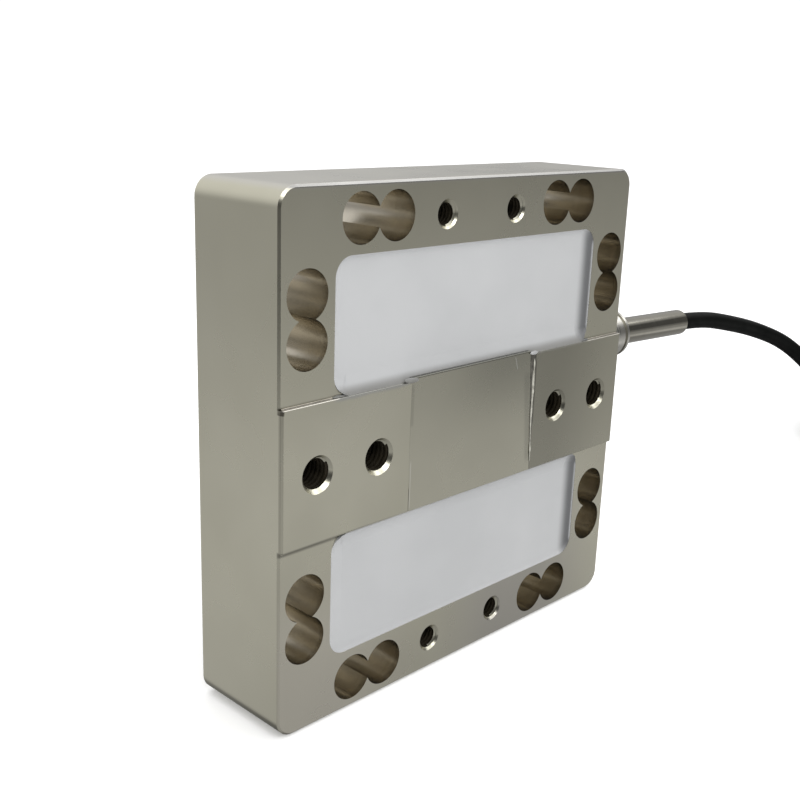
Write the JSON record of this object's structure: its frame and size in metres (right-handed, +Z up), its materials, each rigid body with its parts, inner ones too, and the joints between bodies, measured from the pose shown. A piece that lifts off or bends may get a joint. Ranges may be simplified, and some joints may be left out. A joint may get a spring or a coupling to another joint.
{
  "type": "multi-axis load cell",
  "caption": "Square multi-axis load cell: steel block with bored flexures, white potting in its pockets, tapped load bar, cable gland and a free cable with bare leads.",
  "frame": {"origin": "middle of the block's underside, as it stands on its lower side", "axes": "+X to the side with the cable gland, -Y out of the face with the raised load bar, +Z up"},
  "size_m": [0.392, 0.0508, 0.12],
  "materials": {
    "nickel_steel": "satin nickel plate over machined and blasted steel",
    "cover_metal": "satin nickel plate",
    "gland_metal": "bright turned nickel-plated brass",
    "potting_silicone": "white potting silicone, slightly glossy",
    "sealant": "white sealant",
    "gauge_foil": "polyimide with metal foil",
    "board_green": "solder mask",
    "pad_foam": "insulating pad",
    "resistor_ceramic": "ceramic chip resistor",
    "harness_jacket": "thin lead insulation",
    "core_bundle": "cable cores under foil",
    "cable_jacket": "black polyurethane jacket",
    "seal_rubber": "black rubber",
    "tie_nylon": "black nylon",
    "tinned_copper": "tinned copper",
    "lead_1": "lead insulation",
    "lead_2": "lead insulation",
    "lead_3": "lead insulation",
    "lead_4": "lead insulation",
    "lead_5": "lead insulation",
    "lead_6": "lead insulation",
    "lead_7": "lead insulation",
    "lead_8": "lead insulation"
  },
  "bodies": {
    "root": {"board_pad": "pad_foam", "cable_hank": "cable_jacket", "cable_tail": "cable_jacket", "cable_tie_far": "tie_nylon", "cable_tie_near": "tie_nylon", "core_bundle": "core_bundle", "cover_plate": "cover_metal", "end_sleeve": "seal_rubber", "flying_lead_1": "lead_1", "flying_lead_2": "lead_2", "flying_lead_3": "lead_3", "flying_lead_4": "lead_4", "flying_lead_5": "lead_5", "flying_lead_6": "lead_6", "flying_lead_7": "lead_7", "flying_lead_8": "lead_8", "gland_collar": "gland_metal", "gland_seal": "seal_rubber", "gland_sleeve": "gland_metal", "harness_lower_left": "harness_jacket", "harness_lower_right": "harness_jacket", "harness_upper_left": "harness_jacket", "harness_upper_right": "harness_jacket", "junction_board": "board_green", "lift_gauge_1": "gauge_foil", "lift_gauge_2": "gauge_foil", "lift_gauge_3": "gauge_foil", "lift_gauge_4": "gauge_foil", "lift_gauge_5": "gauge_foil", "lift_gauge_6": "gauge_foil", "lift_gauge_7": "gauge_foil", "lift_gauge_8": "gauge_foil", "lower_potting": "potting_silicone", "seam_bead": "sealant", "sensor_body": "nickel_steel", "side_gauge_1": "gauge_foil", "side_gauge_2": "gauge_foil", "side_gauge_3": "gauge_foil", "side_gauge_4": "gauge_foil", "side_gauge_5": "gauge_foil", "side_gauge_6": "gauge_foil", "side_gauge_7": "gauge_foil", "side_gauge_8": "gauge_foil", "signal_cable": "cable_jacket", "terminal_lower_left": "board_green", "terminal_lower_right": "board_green", "terminal_upper_left": "board_green", "terminal_upper_right": "board_green", "thrust_gauge_1": "gauge_foil", "thrust_gauge_2": "gauge_foil", "thrust_gauge_3": "gauge_foil", "thrust_gauge_4": "gauge_foil", "tinned_tips": "tinned_copper", "trim_resistor_1": "resistor_ceramic", "trim_resistor_2": "resistor_ceramic", "trim_resistor_3": "resistor_ceramic", "trim_resistor_4": "resistor_ceramic", "upper_potting": "potting_silicone"}
  },
  "joints": []
}
